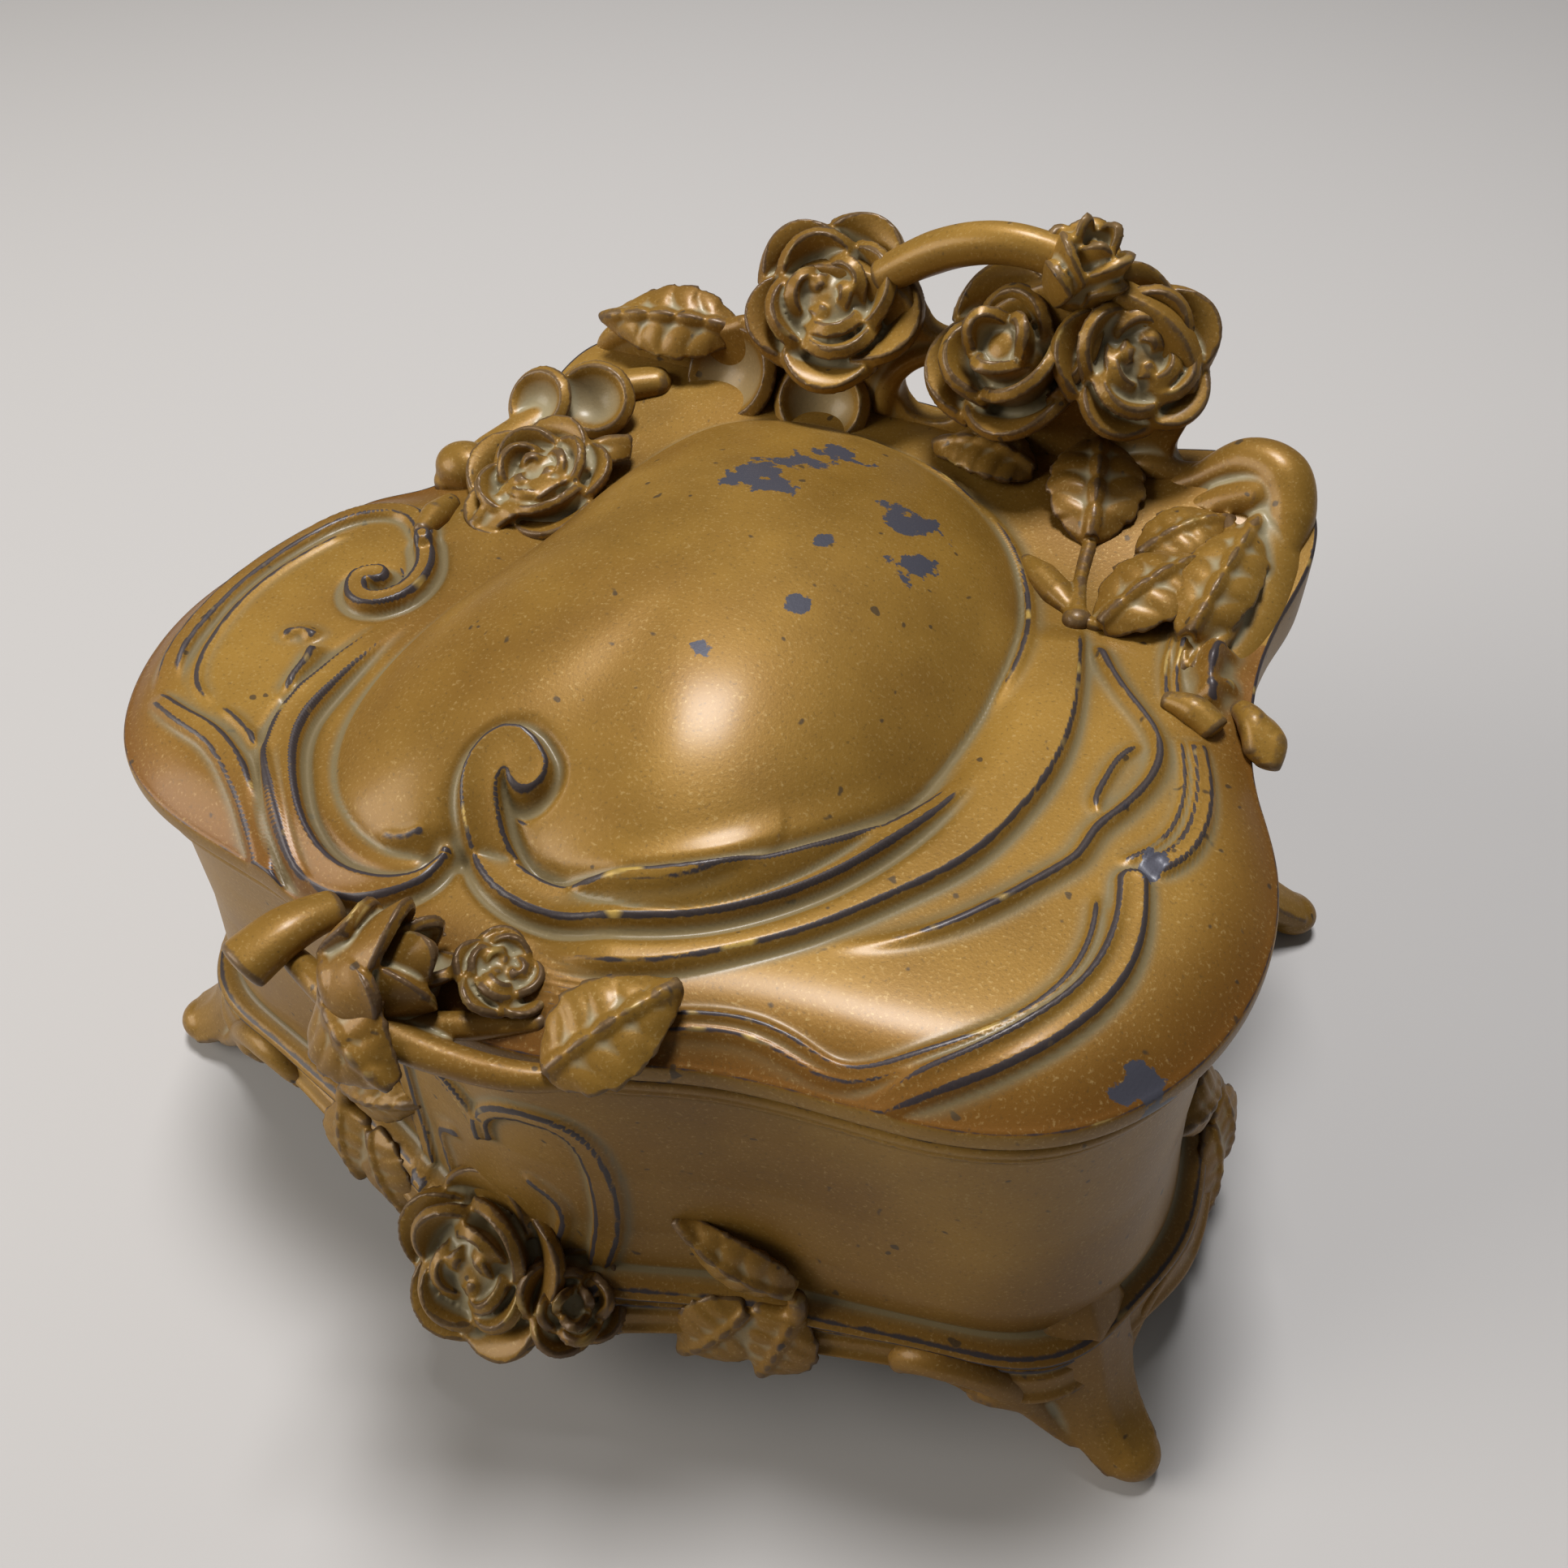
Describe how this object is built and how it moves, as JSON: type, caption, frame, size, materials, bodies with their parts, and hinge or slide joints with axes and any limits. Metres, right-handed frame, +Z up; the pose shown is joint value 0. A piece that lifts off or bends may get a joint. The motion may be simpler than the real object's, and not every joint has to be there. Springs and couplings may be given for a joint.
{
  "type": "jewel box",
  "caption": "Cast gilt-metal jewel box on splayed feet, with a hinged domed lid, scroll mouldings and a pierced rose crest.",
  "frame": {"origin": "on the table under the middle of the overall box", "axes": "+X to the right seen from the front, +Y to the back where the hinge is, +Z up"},
  "size_m": [0.1434, 0.1178, 0.1018],
  "materials": {
    "gilt_casting": "satin gilt over white metal, worn on the edges",
    "hinge_brass": "dull",
    "lining_satin": "satin"
  },
  "bodies": {
    "box": {"body_shell": "gilt_casting", "bottom_plate": "gilt_casting", "hinge_box_leaf": "hinge_brass", "hinge_box_rivets": "hinge_brass", "hinge_pin": "hinge_brass", "apron_bud": "gilt_casting", "apron_rose": "gilt_casting", "apron_spray_front_left": "gilt_casting", "apron_spray_front_right": "gilt_casting", "apron_spray_side_left": "gilt_casting", "apron_spray_side_right": "gilt_casting", "leg_front_left": "gilt_casting", "leg_front_right": "gilt_casting", "leg_rear_left": "gilt_casting", "leg_rear_right": "gilt_casting", "lining_back": "lining_satin", "lining_floor": "lining_satin", "lining_front": "lining_satin", "lining_left": "lining_satin", "lining_right": "lining_satin"},
    "lid": {"crest_bud": "gilt_casting", "crest_leaf_inner": "gilt_casting", "crest_leaf_low": "gilt_casting", "crest_leaf_middle": "gilt_casting", "crest_leaf_outer": "gilt_casting", "crest_leaf_top": "gilt_casting", "crest_panel": "gilt_casting", "crest_petal_left": "gilt_casting", "crest_petal_right": "gilt_casting", "crest_rose_left": "gilt_casting", "crest_rose_middle": "gilt_casting", "crest_rose_right": "gilt_casting", "crest_scroll": "gilt_casting", "crest_stem": "gilt_casting", "dome_rose": "gilt_casting", "dome_stem": "gilt_casting", "hinge_lid_leaf": "hinge_brass", "hinge_lid_rivets": "hinge_brass", "lid_lining": "lining_satin", "lid_shell": "gilt_casting", "thumb_bud": "gilt_casting", "thumb_end": "gilt_casting", "thumb_leaf_left": "gilt_casting", "thumb_leaf_right": "gilt_casting", "thumb_stem": "gilt_casting", "waist_tab": "gilt_casting"}
  },
  "joints": [
    {"name": "lid_hinge", "type": "hinge", "parent": "box", "child": "lid", "pos_m": [0, 0.0559, 0.062], "axis": [-1, 0, 0], "range_deg": [0, 100]}
  ]
}
